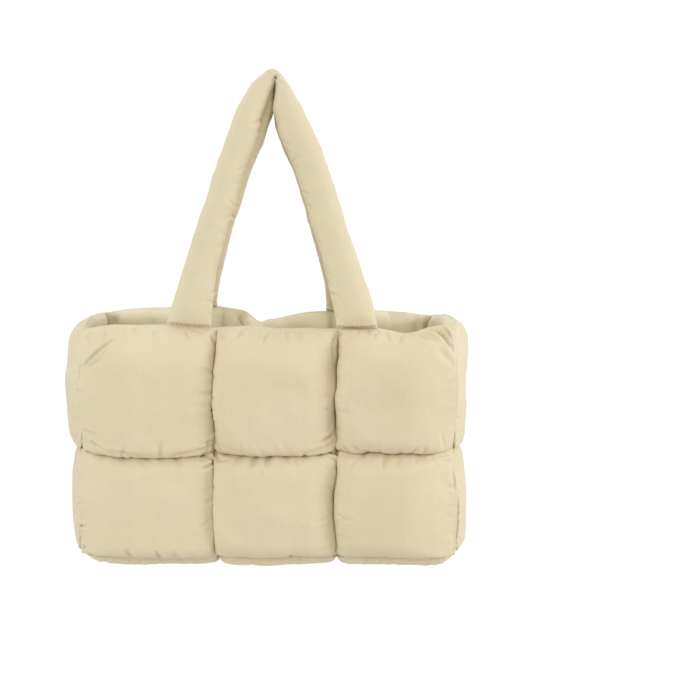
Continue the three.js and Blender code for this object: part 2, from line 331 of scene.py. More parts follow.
    if start is None:
        dome = (1 - np.abs(2 * ss - 1)**3.5)**0.6 * (1 - np.abs(2 * tt - 1)**3.5)**0.6
        start = mid.copy()
        start[..., 2] += spec["seam"] + full * dome + 0.5 * lump * free
    start[..., 2] = np.where(pinned, base + spec["seam"], start[..., 2])
    start[..., 0] = np.where(pinned, mid[..., 0], start[..., 0])
    start[..., 1] = np.where(pinned, mid[..., 1], start[..., 1])
    seam_u = np.where(su, 0.0, 1.0)[None, :] * np.ones((nv, 1))
    seam_v = np.where(sv, 0.0, 1.0)[:, None] * np.ones((1, nu))
    fall = np.array(spec["fall"])[cj][:, None] * np.array(spec["fall_by"])[ci][None, :] * spec["push"][stage]
    drift = np.array(spec["drift"])[ci][None, :] * spec["push"][stage]
    return relax(start, free, rest_u, rest_v, rest_a, rest_b, push, fall, drift, keep_side,
                 spec["rounds"][stage], spec["crush"], spec["bend"], seam_u, seam_v)


# ---------------------------------------------------------------------------
# Quilted panels
# ---------------------------------------------------------------------------
X, Y, Z = np.eye(3)


def to_panel(p, axes):
    return p @ np.stack(axes, 1)


def from_panel(q, axes):
    return q @ np.stack(axes, 0)


OUTSIDE = dict(taut=1e-3, dome=(0.15, 0.15), gather=((0.13,) * 4, (0.12, 0.16, 0.02)), ease=0.15, ease_top=0.15, push=(0.085, 0.014),
               heavy=0.3, fall=(0.0, 0.3), fall_by=(1.0,) * 3, drift=(0.0,) * 3, touch=12.0, gap=0.04, floor=0.3, seam=0.4, crossing=0.4,
               uneven=0.03, crush=0.3, bend=0.012, rounds=(420, 330))
INSIDE = dict(taut=1e-3, dome=(0.15, 0.15), gather=((0.0,) * 4, (0.0,) * 3), ease=0.35, ease_top=0.35, push=(0.012, 0.002),
              heavy=0.5, fall=(0.0, 0.0), fall_by=(1.0,) * 3, drift=(0.0,) * 3, touch=99.0, gap=0.1, floor=-0.5, seam=0.8, crossing=0.0,
              uneven=0.01, crush=0.2, bend=0.02, rounds=(300, 160))


def quilted(name, cols, rows, mid, axes, out, inn, seed):
    """A panel's outer and inner sheets in the row frame, as two grids."""
    sheets = []
    for side, spec in ((1, out), (-1, inn)):
        ax = (axes[0], axes[1], side * axes[2])
        p = None
        for n in (((COARSE, FINE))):
            u, v = np.meshgrid(np.linspace(0, cols, cols * n + 1), np.linspace(0, rows, rows * n + 1))
            m = to_panel(unsteady(mid(u, v)), ax)
            p = sheet(m, cols, rows, n, None if p is None else refine(p, cols, rows, n // COARSE), spec, seed + side)
        steps = (FINE * KEEP) if side > 0 else INNER_STEPS
        n = (p.shape[1] - 1) // cols
        if steps > n:
            p = refine(p, cols, rows, steps // n)
        elif steps < n:
            hop = n // steps if n % steps == 0 else None
            p = p[::hop, ::hop] if hop else refine(p, cols, rows, 2)[::(2 * n) // steps, ::(2 * n) // steps]
        sheets.append(from_panel(p, ax))
    return sheets


def specs(base, spare, rise, along_lean, up_lean, **more):
    level = ((0.1,) * 3, (0.0,) * 3, (0.0,) * 3)
    return dict(dict(dict(slope_low=level, slope_high=level, slope_foot=(0.01, 1.0)), **base), spare=spare, rise=np.array(rise, float), lean=dict(along=along_lean, up=up_lean), **more)


def gusset_mid(u, lift, bow):
    def mid(v, w):
        p = net(-1, np.full_like(v, u), w) * (1 - v)[..., None] + net(1, np.full_like(v, u), w) * v[..., None]
        p[..., 0] += (1 if u else -1) * along(bow, w) * np.sin(np.pi * v)**0.6
        p[..., 2] += lift * np.sin(np.pi * v) * np.clip(w - 1, 0, 1)
        return p
    return mid


def base_mid(u, v):
    return net(-1, u, np.zeros_like(u)) * (1 - v)[..., None] + net(1, u, np.zeros_like(u)) * v[..., None]


FLAT = ((0.01,) * 3, (0.01,) * 2)
# Slopes of the filling towards a puff's two sides: how wide, how far down, and their shape.
FACE = dict(OUTSIDE, taut=0.36, ease_top=0.5, fall_by=(1.0, 1.0, 0.5), drift=(0.0, 0.22, 0.06), gather=((0.03, 0.13, 0.13, 0.03), (0.12, 0.16, 0.02)),
            slope_low=((0.42, 0.14, 0.14), (1.0, 0.2, 0.2), (1.5, 0.0, 0.0)),
            slope_high=((0.3, 0.3, 0.42), (0.42, 0.5, 1.0), (0.0, 0.0, 1.5)))
PUFFED = ((0.24, 0.34, 0.27), (0.30, 0.28))
FACE_OUT = specs(FACE, PUFFED, (27, 27), (0.1, -0.1), (0.05, 0.3))
BACK_OUT = specs(FACE, PUFFED, (26, 26), (0.1, -0.1), (0.05, 0.3))
LINED = dict(INSIDE, push=(0.04, 0.008), ease=0.2, ease_top=0.2)
FACE_IN = specs(LINED, ((0.03,) * 3, (0.02, 0.14)), (8, 15), (0.9, -0.9), (0.9, 0.0))
SIDE_IN = specs(LINED, ((0.03,) * 3, (0.02, 0.10)), (8, 12), (0.9, -0.9), (0.9, 0.0))
LEFT_IN_SIDE = specs(LINED, ((0.03,) * 3, (0.02, 0.05)), (8, 5), (0.9, -0.9), (0.9, 0.0))
SIDE = dict(OUTSIDE, fall=(0.1, 0.1), gather=((0.03, 0.03), (0.14, 0.14, 0.10)), dome=(0.2, 0.1),
            slope_low=((0.42,), (1.0,), (1.5,)), slope_high=((0.42,), (1.0,), (1.5,)), slope_foot=(0.17, 2.0))
LEFT_OUT_SIDE = specs(SIDE, ((0.10,), (0.18, 0.18)), (13.5, 20), (0.0, 0.0), (-0.3, 0.2))
RIGHT_OUT_SIDE = specs(SIDE, ((0.09,), (0.18, 0.18)), (17.2, 17), (0.0, 0.0), (-0.3, 0.4))
BASE_OUT = specs(dict(OUTSIDE, heavy=0.0, fall=(0.0,), gather=((0.08,) * 4, (0.08, 0.08)), dome=(0.1, 0.62),
                      slope_low=((0.3, 0.1, 0.1), (1.0, 0.0, 0.0), (1.8, 0.0, 0.0)),
                      slope_high=((0.1, 0.1, 0.22), (0.0, 0.0, 1.0), (0.0, 0.0, 1.8))),
                 ((0.18, 0.18, 0.18), (0.21,)), (18.5,), (-2.0, 2.0), (-1.5, 1.5))
BASE_IN = specs(dict(INSIDE, heavy=0.0), FLAT, (6,), (0.9, -0.9), (0.9, -0.9))

PANELS = (
    ("front_panel", 3, 2, lambda u, v: net(-1, u, v), (X, Z, -Y), FACE_OUT, FACE_IN, 1),
    ("back_panel", 3, 2, lambda u, v: net(1, u, v), (X, Z, Y), BACK_OUT, FACE_IN, 2),
    ("left_gusset", 1, 2, gusset_mid(0.0, GUSSET_LIFT[0], GUSSET_BOW[0]), (Y, Z, -X), LEFT_OUT_SIDE, LEFT_IN_SIDE, 3),
    ("right_gusset", 1, 2, gusset_mid(3.0, GUSSET_LIFT[1], GUSSET_BOW[1]), (Y, Z, X), RIGHT_OUT_SIDE, SIDE_IN, 4),
    ("base_panel", 3, 1, base_mid, (X, Y, -Z), BASE_OUT, BASE_IN, 5),
)


CELL = (126.0, 124.0)                    # cloth across and up one puff

# Creases on the front, as points (column, row), depth and width in millimetres.
FRONT_CREASES = (
    (((0.055, 1.72), (0.167, 1.805), (0.265, 1.878)), 2.6, 1.3), (((0.10, 1.70), (0.19, 1.745)), 1.1, 1.6),
    (((0.03, 1.215), (0.10, 1.25), (0.18, 1.26)), 1.7, 1.5), (((0.04, 1.14), (0.158, 1.192), (0.245, 1.175)), 2.2, 1.4),
    (((0.583, 1.255), (0.58, 1.16)), 1.6, 1.8), (((0.26, 1.165), (0.36, 1.175), (0.47, 1.165)), 1.4, 2.0),
    (((0.64, 1.15), (0.74, 1.165), (0.85, 1.18), (0.94, 1.17)), 2.0, 1.9),
    (((0.79, 1.225), (0.86, 1.21), (0.92, 1.20)), 2.2, 1.3), (((0.85, 1.22), (0.842, 1.14)), 2.2, 1.3),
    (((0.888, 1.21), (0.885, 1.13)), 2.1, 1.3),
    (((1.09, 1.16), (1.13, 1.12), (1.135, 1.09)), 2.8, 1.4), (((1.10, 0.88), (1.142, 0.842), (1.18, 0.855)), 2.8, 1.4),
    (((1.15, 1.17), (1.20, 1.13)), 2.0, 1.4), (((0.885, 0.885), (0.92, 0.80)), 2.6, 1.3),
    (((0.84, 0.795), (0.915, 0.83)), 2.2, 1.3), (((0.93, 0.87), (0.94, 0.77)), 2.1, 1.3),
    (((1.80, 1.212), (1.88, 1.205), (1.945, 1.24)), 2.7, 1.5), (((1.70, 1.15), (1.80, 1.165), (1.91, 1.15)), 1.8, 1.8),
    (((2.095, 1.15), (2.125, 1.105)), -2.4, 1.8), (((2.165, 1.17), (2.20, 1.115)), 2.8, 1.4),
    (((2.25, 1.18), (2.27, 1.13)), 1.4, 1.7), (((1.87, 0.88), (1.93, 0.85)), 1.7, 1.7),
    (((1.083, 1.955), (1.105, 1.91), (1.128, 1.868)), 1.9, 1.8), (((0.93, 1.93), (0.962, 1.865)), 1.9, 1.8),
    (((0.84, 1.685), (0.95, 1.66)), 1.1, 1.8), (((0.83, 1.542), (0.95, 1.535)), 1.1, 1.8), (((0.86, 1.42), (0.96, 1.41)), 0.9, 1.8),
    (((2.77, 1.985), (2.85, 1.917), (2.95, 1.81)), 3.4, 2.0), (((2.665, 1.945), (2.79, 1.872)), 2.2, 2.6),
    (((2.88, 1.965), (2.955, 1.85)), 2.6, 1.7), (((2.82, 1.80), (2.93, 1.73)), 1.3, 3.0),
    (((0.02, 0.30), (0.11, 0.335)), 2.0, 1.4), (((0.02, 0.05), (0.085, 0.15)), 2.6, 1.4),
    (((2.76, 0.868), (2.85, 0.875), (2.94, 0.90)), 1.8, 1.7), (((2.85, 0.845), (2.965, 0.865)), 1.6, 1.6),
    (((0.38, 0.215), (0.408, 0.13)), 2.2, 1.4), (((0.55, 0.21), (0.585, 0.12)), 2.2, 1.4), (((0.645, 0.21), (0.685, 0.14)), 1.4, 1.9),
    (((2.43, 0.87), (2.425, 0.79)), 1.3, 1.8), (((1.933, 1.85), (1.944, 1.75)), 1.6, 1.7), (((1.95, 1.93), (1.935, 1.87)), 1.4, 1.7),
)
RIGHT_CREASES = ((((0.16, 0.53), (0.09, 0.47), (0.02, 0.40)), 2.0, 2.0), (((0.03, 0.10), (0.12, 0.19)), 2.2, 2.0),
                 (((0.05, 0.20), (0.14, 0.17)), 1.6, 1.8))
# Soft folds on the inside of the back.
BACK_FOLDS = ((((0.40, 1.98), (0.41, 1.70)), 2.0, 5.0), (((0.05, 1.98), (0.13, 1.82)), 2.6, 4.5), (((0.13, 1.97), (0.05, 1.84)), 2.2, 4.5),
              (((1.36, 1.99), (1.33, 1.75)), 2.5, 7.0),
              (((2.83, 1.99), (2.82, 1.72)), 3.0, 3.5), (((2.94, 1.99), (2.95, 1.74)), 2.6, 4.5))


# A flap of it lies over the rest: points (column, row), depth and how far the dip runs on (to the left below 0), in millimetres.
BACK_FLAPS = ((((2.57, 2.1), (2.58, 1.6)), 7.0, 26.0), (((0.40, 2.1), (0.41, 1.6)), 3.0, 16.0), (((1.21, 2.1), (1.235, 1.6)), 14.0, -16.0))


def flaps(p, cols, rows, normal, strokes):
    """Sinks a sheet sharply on one side of each line, coming back up further on."""
    nv, nu = p.shape[:2]
    u, v = np.meshgrid(np.linspace(0, cols, nu), np.linspace(0, rows, nv))
    n = grid_normals(p)
    n *= np.sign((n @ normal).mean())
    edge = np.clip(np.minimum(np.minimum(u, cols - u) * CELL[0], np.minimum(v, rows - v) * CELL[1]) / 4.5, 0, 1)
    edge = edge * np.clip(np.abs(u - np.round(u)) * CELL[0] / 14, 0, 1)
    for ((u0, v0), (u1, v1)), depth, run in strokes:
        d = (u - np.interp(v, (v1, v0), (u1, u0))) * CELL[0] * np.sign(run)
        sink = depth * np.clip(d / 2.5 + 0.5, 0, 1) * np.exp(-np.maximum(d, 0) / abs(run))
        p = p - (sink * edge * np.clip((v - v1) * 4, 0, 1))[..., None] * n
    return p


def puckers(cols, rows, seed, rim):
    """Small puckers that run off the seams into the puffs."""
    rng = np.random.default_rng(900 + seed)
    out = []
    for axis, count, span in ((1, rows, cols), (0, cols, rows)):
        for k in range(count + 1):
            inner = 0 < k < count
            for way in ((-1, 1) if inner else (1,) if k == 0 else (-1,)):
                at = rng.uniform(0.04, 0.12)
                while at < span - 0.04:
                    start = rng.uniform(11, 17) if inner else rng.uniform(1.5, 4)
                    if axis and rim and k == rows:
                        start = rng.uniform(2, 5)
                    long = rng.uniform(7, 17) * (1.0 if inner else 0.75)
                    slant = rng.uniform(-0.55, 0.55) * long
                    depth = rng.uniform(0.45, 1.35) * ((0.6 if inner and way < 0 else 1.0) if axis else 0.7)
                    across = (at * CELL[1 - axis], at * CELL[1 - axis] + slant)
                    along_ = (k * CELL[axis] + way * start, k * CELL[axis] + way * (start + long))
                    pts = [(a / CELL[1 - axis], b / CELL[axis]) for a, b in zip(across, along_)]
                    out.append((pts if axis else [(b, a) for a, b in pts], depth, rng.uniform(1.4, 2.2)))
                    at += rng.uniform(0.07, 0.17)
    return out


def creased(p, cols, rows, normal, strokes, wave):
    """Presses creases into a sheet along its normals; its edges stay where they are sewn."""
    nv, nu = p.shape[:2]
    us, vs = np.linspace(0, cols * CELL[0], nu), np.linspace(0, rows * CELL[1], nv)
    n = grid_normals(p)
    n *= np.sign((n @ normal).mean())
    lift = np.zeros((nv, nu))
    for points, depth, width in strokes:
        q = np.array(points) * CELL
        lo, hi = q.min(0) - 5 * width, q.max(0) + 5 * width
        i0, i1 = np.searchsorted(us, (lo[0], hi[0]))
        j0, j1 = np.searchsorted(vs, (lo[1], hi[1]))
        if i0 >= i1 or j0 >= j1:
            continue
        x, y = np.meshgrid(us[i0:i1], vs[j0:j1])
        lift[j0:j1, i0:i1] += depth * groove(x, y, q, width)
    if wave:
        near = [np.abs(g / c - np.round(g / c)) * c for g, c in zip(np.meshgrid(us, vs), CELL)]
        lift += np.clip((np.minimum(*near) - 6) / 22, 0, 1) * wave * (noise(p, 27, 71) + 0.4 * noise(p, 10, 72))
    far = np.minimum(np.minimum(us, us[-1] - us)[None, :], np.minimum(vs, vs[-1] - vs)[:, None])
    return p + (lift * np.clip(far / 3, 0, 1))[..., None] * n


def groove(x, y, q, width):
    """A crease along the line q: a groove with a lip on either side, fading at its ends."""
    best, side, far = np.full(x.shape, 1e9), np.zeros(x.shape), np.zeros(x.shape)
    step = np.hypot(*np.diff(q, axis=0).T)
    at = np.concatenate([[0], np.cumsum(step)]) / step.sum()
    for a, b, f0, f1 in zip(q[:-1], q[1:], at[:-1], at[1:]):
        d = b - a
        t = np.clip(((x - a[0]) * d[0] + (y - a[1]) * d[1]) / (d @ d), 0, 1)
        ex, ey = x - a[0] - t * d[0], y - a[1] - t * d[1]
        r = np.hypot(ex, ey)
        near = r < best
        side = np.where(near, np.sign(d[0] * ey - d[1] * ex) * r, side)
        far = np.where(near, f0 + (f1 - f0) * t, far)
        best = np.where(near, r, best)
    fade = np.sin(np.pi * (0.08 + 0.84 * far))**0.7
    return fade * (-np.exp(-(best / width)**2) + 0.5 * np.exp(-((side - 1.9 * width) / (1.3 * width))**2)
                   + 0.25 * np.exp(-((side + 1.9 * width) / (1.3 * width))**2))


def panel_mesh(name, outer, inner, normal, rim):
    """One closed mesh of a panel's two sheets; rim rounds the free top edge over."""
    nv, nu = outer.shape[:2]
    mv, mu = inner.shape[:2]
    k = (nu - 1) // (mu - 1)
    verts = [outer.reshape(-1, 3), inner.reshape(-1, 3)]
    faces, size = [], nv * nu
    o = np.arange(nv * nu).reshape(nv, nu)
    i = np.arange(mv * mu).reshape(mv, mu) + size
    total = size + mv * mu
    n = grid_normals(outer)
    flip = (n.reshape(-1, 3) @ normal).mean() < 0
    quads = [np.stack([o[:-1, :-1], o[:-1, 1:], o[1:, 1:], o[1:, :-1]], -1).reshape(-1, 4),
             np.stack([i[:-1, :-1], i[1:, :-1], i[1:, 1:], i[:-1, 1:]], -1).reshape(-1, 4)]
    tris = []

    def zip_up(out_line, in_line):
        """Joins k outer steps to each inner step."""
        for q in range(len(in_line) - 1):
            run = out_line[q * k:q * k + k + 1]
            tris.extend((in_line[q], run[r + 1], run[r]) for r in range(k))
            tris.append((in_line[q], in_line[q + 1], run[k]))

    top = o[-1]
    if rim:
        high, low = outer[-1], refine_line(inner[-1], k)
        middle, half = 0.5 * (high + low), 0.5 * (high - low)
        up = np.linalg.norm(half, axis=-1, keepdims=True) * Z
        for a in (35, 75, 110, 150):
            r = math.radians(a)
            verts.append(middle + math.cos(r) * half + math.sin(r) * up)
            line = np.arange(total, total + nu)
            total += nu
            quads.append(np.stack([top[:-1], top[1:], line[1:], line[:-1]], -1))
            top = line
    zip_up(top[::-1], i[-1][::-1])
    zip_up(o[0], i[0])
    zip_up(o[:, 0][::-1], i[:, 0][::-1])
    zip_up(o[:, -1], i[:, -1])
    faces = [tuple(f) for f in np.concatenate(quads)] + [tuple(f) for f in tris]
    if flip:
        faces = [f[::-1] for f in faces]
    return np.concatenate(verts), faces


def refine_line(p, k):
    t = np.arange((len(p) - 1) * k + 1) / k
    return np.stack([np.interp(t, np.arange(len(p)), p[:, d]) for d in range(3)], -1)


def new_object(name, verts, faces, material):
    mesh = bpy.data.meshes.new(name)
    mesh.from_pydata((np.asarray(verts) * MM).tolist(), [], [tuple(int(v) for v in f) for f in faces])
    mesh.validate()
    mesh.polygons.foreach_set("use_smooth", np.ones(len(mesh.polygons), bool))
    mesh.update()
    ob = bpy.data.objects.new(name, mesh)
    bpy.context.scene.collection.objects.link(ob)
    mesh.materials.append(material)
    return ob


def set_vector(ob, name, values):
    a = ob.data.attributes.new(name, "FLOAT_VECTOR", "POINT")
    a.data.foreach_set("vector", np.asarray(values, np.float32).ravel())


# ---------------------------------------------------------------------------
# Handles: stuffed tubes
# ---------------------------------------------------------------------------
ROUND, ALONG = 56, 260                   # tube steps round and along


def handle_cuts(turned):
    """Cuts along a whole handle from foot to foot: inner x, z, outer x, z and half depth."""
    inner, outer, depth = (smooth_table([(r[0], r[c]) for r in LEG]) for c in (1, 2, 3))
    z = LEG[0][0] + (LEG[-1][0] - LEG[0][0]) * (np.arange(33) / 32)**1.35
    leg = np.stack([inner(z), z, outer(z), z, depth(z)], -1)
    half = np.concatenate([leg, np.array(FOLD, float)])
    left = half * (-1, 1, -1, 1, 1)
    rows = np.concatenate([left, [FOLD_TOP], half[::-1]])
    step = np.diff(rows, axis=0)
    far = 0.5 * np.hypot(*(0.5 * (step[:, 0:2] + step[:, 2:4])).T) + 0.5 * np.hypot(step[:, 2], step[:, 3])
    at = np.concatenate([[0], np.cumsum(far)])
    s = np.linspace(0, at[-1], ALONG + 1)
    cuts = np.stack([smooth_table(list(zip(at, rows[:, c])))(s) for c in range(5)], -1)
    for hand, table in ((-1, LEFT_SHOULDER), (1, RIGHT_SHOULDER)):
        on = cuts[:, 2] * hand > 0
        cuts[on, 2] -= hand * smooth_table(table)(cuts[on, 3])
        if turned is REAR_TURN or hand < 0:
            cuts[on, 0] += hand * smooth_table(turned)(cuts[on, 1])
    return cuts, s


def tube(side, seed):
    cuts, s = handle_cuts(FRONT_TURN if side < 0 else REAR_TURN)
    turn = 2 * np.pi * np.arange(ROUND) / ROUND
    cx = np.sign(np.cos(turn)) * np.abs(np.cos(turn))**0.84
    sy = np.sign(np.sin(turn)) * np.abs(np.sin(turn))**0.84
    part = (1 + cx) / 2
    x = cuts[:, None, 0] * (1 - part) + cuts[:, None, 2] * part
    z = cuts[:, None, 1] * (1 - part) + cuts[:, None, 3] * part
    foot = LEG[0][0]
    lift = RIM[side](x - BODY_SHIFT) + HANDLE_GAP
    z = z + (lift - foot) * np.clip(1 - (z - foot) / 30, 0, 1)
    z[0], z[-1] = lift[0], lift[-1]
    lean = side * (HANDLE_FOLD_Y + (LEVEL_DEPTH[2] - HANDLE_FOLD_Y) * np.clip(z / foot, 0, 1))
    p = np.stack([x, lean + cuts[:, None, 4] * sy, z], -1)
    p = fill_tube(p, seed)
    # The fold's slit leans over to one side.
    lean, low = (3.6, 30) if side < 0 else (3.0, 42)
    lean = lean * np.clip((p[..., 2] + low) / 24, 0, 1) * np.clip((7.5 - p[..., 2]) / 7, 0, 1)
    p[..., 0] += lean * np.exp(-(p[..., 0] / 12)**2)
    p, s = finer(p, s)
    return wrinkled(p, s, side, seed), s


def finer(p, s):
    """Halves a tube's steps, on curves through its points."""
    round_ = (9 * (p + np.roll(p, -1, 1)) - np.roll(p, 1, 1) - np.roll(p, -2, 1)) / 16
    q = np.empty((p.shape[0], 2 * p.shape[1], 3))
    q[:, 0::2], q[:, 1::2] = p, round_
    mid = 0.5 * (q[1:] + q[:-1])
    mid[1:-1] = (9 * (q[1:-2] + q[2:-1]) - q[:-3] - q[3:]) / 16
    out = np.empty((2 * q.shape[0] - 1, q.shape[1], 3))
    out[0::2], out[1::2] = q, mid
    return out, np.interp(np.arange(len(out)) / 2, np.arange(len(s)), s)


GIRTH = 92.0                             # cloth round a handle
STITCH_AT = 1.8                          # the feet are sewn this far from their ends


def wrinkled(p, s, side, seed):
    """Creases across a handle, mostly off its inner edge and at its fold."""
    rng = np.random.default_rng(500 + seed)
    n_along, n_round = p.shape[:2]
    a = np.roll(p, -1, 1) - np.roll(p, 1, 1)
    b = np.gradient(p, axis=0)
    n = np.cross(b, a)
    n /= np.linalg.norm(n, axis=-1, keepdims=True) + 1e-9
    ring = np.arange(n_round) / n_round * GIRTH
    full, half = s[-1], GIRTH / 2
    strokes = []
    at = 8.0
    while at < full - 8:
        for way in (-1, 1):
            if rng.uniform() < 0.7:
                a0 = half + way * rng.uniform(0, 4)
                strokes.append((((at + rng.uniform(-4, 4), a0), (at + rng.uniform(-6, 6), a0 + way * rng.uniform(6, 15))),
                                rng.uniform(0.4, 1.2), rng.uniform(1.5, 2.4)))
            if rng.uniform() < 0.3:
                a0 = GIRTH - rng.uniform(1, 4) if way < 0 else rng.uniform(1, 4)
                strokes.append((((at, a0), (at + rng.uniform(-6, 6), a0 + way * rng.uniform(5, 12))),
                                rng.uniform(0.4, 0.9), rng.uniform(1.6, 2.6)))
        at += rng.uniform(9, 21)
    for end in (STITCH_AT, full - STITCH_AT):
        strokes += [(((end, a0), (end, a1)), 1.8, 1.2) for a0, a1 in ((half + 3, GIRTH - 3), (3, half - 3))]
    for _ in range(16):
        a0 = rng.uniform(4, GIRTH - 4)
        x0 = full / 2 + rng.uniform(-16, 16)
        strokes.append((((x0, a0), (x0 + rng.uniform(-9, 9), a0 + rng.uniform(-12, 12))), rng.uniform(0.8, 2.0), rng.uniform(1.7, 2.8)))
    lift = np.zeros((n_along, n_round))
    for points, depth, width in strokes:
        q = np.array(points)
        lo, hi = q.min(0) - 5 * width, q.max(0) + 5 * width
        i0, i1 = np.searchsorted(s, (lo[0], hi[0]))
        j0, j1 = np.searchsorted(ring, (lo[1], hi[1]))
        if i0 >= i1 or j0 >= j1:
            continue
        y, x = np.meshgrid(ring[j0:j1], s[i0:i1])
        lift[i0:i1, j0:j1] += depth * groove(x, y, q, width)
    lift += 0.4 * noise(p, 21, 81) + 0.22 * noise(p, 8, 82)
    ends = np.clip(np.minimum(s, full - s) / 6, 0, 1)[:, None]
    return p + (lift * ends)[..., None] * n


def fill_tube(goal, seed):
    """Stuffs a tube: threads a little long, pushed out, and held near the shape it hangs in."""
    p = goal.copy()
    n_along, n_round = p.shape[:2]
    lump = noise(p + seed * 77.0, 26, 40 + seed) * 0.6 + noise(p + seed * 13.0, 11, 41 + seed) * 0.4
    dist = lambda a, b: np.sqrt(((a - b)**2).sum(-1))
    ring = np.roll(p, -1, 1)
    rest_r = dist(ring, p) * (1.0 + 0.02 * lump)
    rest_s = dist(p[1:], p[:-1]) * (1.035 + 0.02 * lump[1:])
    w = np.ones((n_along, n_round))
    w[:1] = w[-1:] = 0
    v = np.zeros_like(p)
    hand = np.sign(goal[..., 0])
    top = np.abs(goal[..., 0]) < 6
    for _ in range(260):
        r = np.roll(p, -1, 1) - np.roll(p, 1, 1)
        a = np.empty_like(p)
        a[1:-1] = p[2:] - p[:-2]
        a[0], a[-1] = p[1] - p[0], p[-1] - p[-2]
        n = np.cross(a, r)
        n /= np.linalg.norm(n, axis=-1, keepdims=True) + 1e-9
        v = 0.8 * v + 0.02 * n * (1 + 0.5 * lump[..., None])
        q = p + v * w[..., None]
        q += 0.006 * (goal - q) * w[..., None]
        for k in (0, 1):
            pull(q[k:-1:2], q[k + 1::2], rest_s[k::2], w[k:-1:2], w[k + 1::2], 0.9, 0.25)
            for m in (0, 1):
                i = np.arange(m, n_round, 2)
                j = (i + 1) % n_round
                qa, qb = q[:, i], q[:, j]
                pull(qa, qb, rest_r[:, i], w[:, i], w[:, j], 0.9, 0.25)
                q[:, i], q[:, j] = qa, qb
        bs = q[:-2] - 2 * q[1:-1] + q[2:]
        br = np.roll(q, 1, 1) - 2 * q + np.roll(q, -1, 1)
        f = np.zeros_like(q)
        f[:-2] += bs; f[1:-1] -= 2 * bs; f[2:] += bs
        f += np.roll(br, -1, 1) - 2 * br + np.roll(br, 1, 1)
        q -= 0.02 * f * w[..., None]
        q[..., 0] = np.where(top, q[..., 0], hand * np.maximum(hand * q[..., 0], 0.35))
        v = q - p
        p = q
    return p


def stitches(p, s):
    """Thread along a handle's sewn feet: short stitches with sunk ends."""
    verts, faces = [], []
    n_round = p.shape[1]
    for at in (STITCH_AT, s[-1] - STITCH_AT):
        j = int(np.argmin(np.abs(s - at)))
        middle = p[j].mean(0)
        for lo, hi in ((n_round // 2 + 4, n_round - 4), (4, n_round // 2 - 4)):
            line = p[j, lo:hi]
            far = np.concatenate([[0], np.cumsum(np.linalg.norm(np.diff(line, axis=0), axis=-1))])
            spot = lambda d: np.stack([np.interp(d, far, line[:, c]) for c in range(3)], -1)
            face = np.sign((line - middle)[:, 1].mean())
            for k in range(int((far[-1] - 2) / 4.1)):
                d = 1.2 + 4.1 * k + np.array([0, 0.35, 0.95, 1.55, 2.15, 2.5])
                path = spot(d) + np.outer((-0.5, 0.1, 0.35, 0.35, 0.1, -0.5), (0, face, 0))
                ahead = path[-1] - path[0]
                ahead /= np.linalg.norm(ahead)
                a = np.cross(ahead, (0, 1.0, 0))
                a /= np.linalg.norm(a)
                b = np.cross(ahead, a)
                first = len(verts)
                for q, r in zip(path, (0.16, 0.36, 0.42, 0.42, 0.36, 0.16)):
                    verts += [q + r * (math.cos(w) * a + math.sin(w) * b) for w in 2 * np.pi * np.arange(8) / 8]
                for m in range(len(path) - 1):
                    for i in range(8):
                        e = (i + 1) % 8
                        faces.append((first + 8 * m + i, first + 8 * m + e, first + 8 * (m + 1) + e, first + 8 * (m + 1) + i))
                faces.append(tuple(first + i for i in range(8))[::-1])
                faces.append(tuple(first + 8 * (len(path) - 1) + i for i in range(8)))
    return verts, faces


def tube_mesh(p):
    n_along, n_round = p.shape[:2]
    o = np.arange(n_along * n_round).reshape(n_along, n_round)
    e = np.roll(o, -1, 1)
    quads = np.stack([o[:-1], o[1:], e[1:], e[:-1]], -1).reshape(-1, 4)
    verts = np.concatenate([p.reshape(-1, 3), [p[0].mean(0)], [p[-1].mean(0)]])
    first, last = n_along * n_round, n_along * n_round + 1
    caps = [(first, a, b) for a, b in zip(o[0], e[0])] + [(last, b, a) for a, b in zip(o[-1], e[-1])]
    faces = [tuple(f) for f in quads] + caps
    return verts, faces


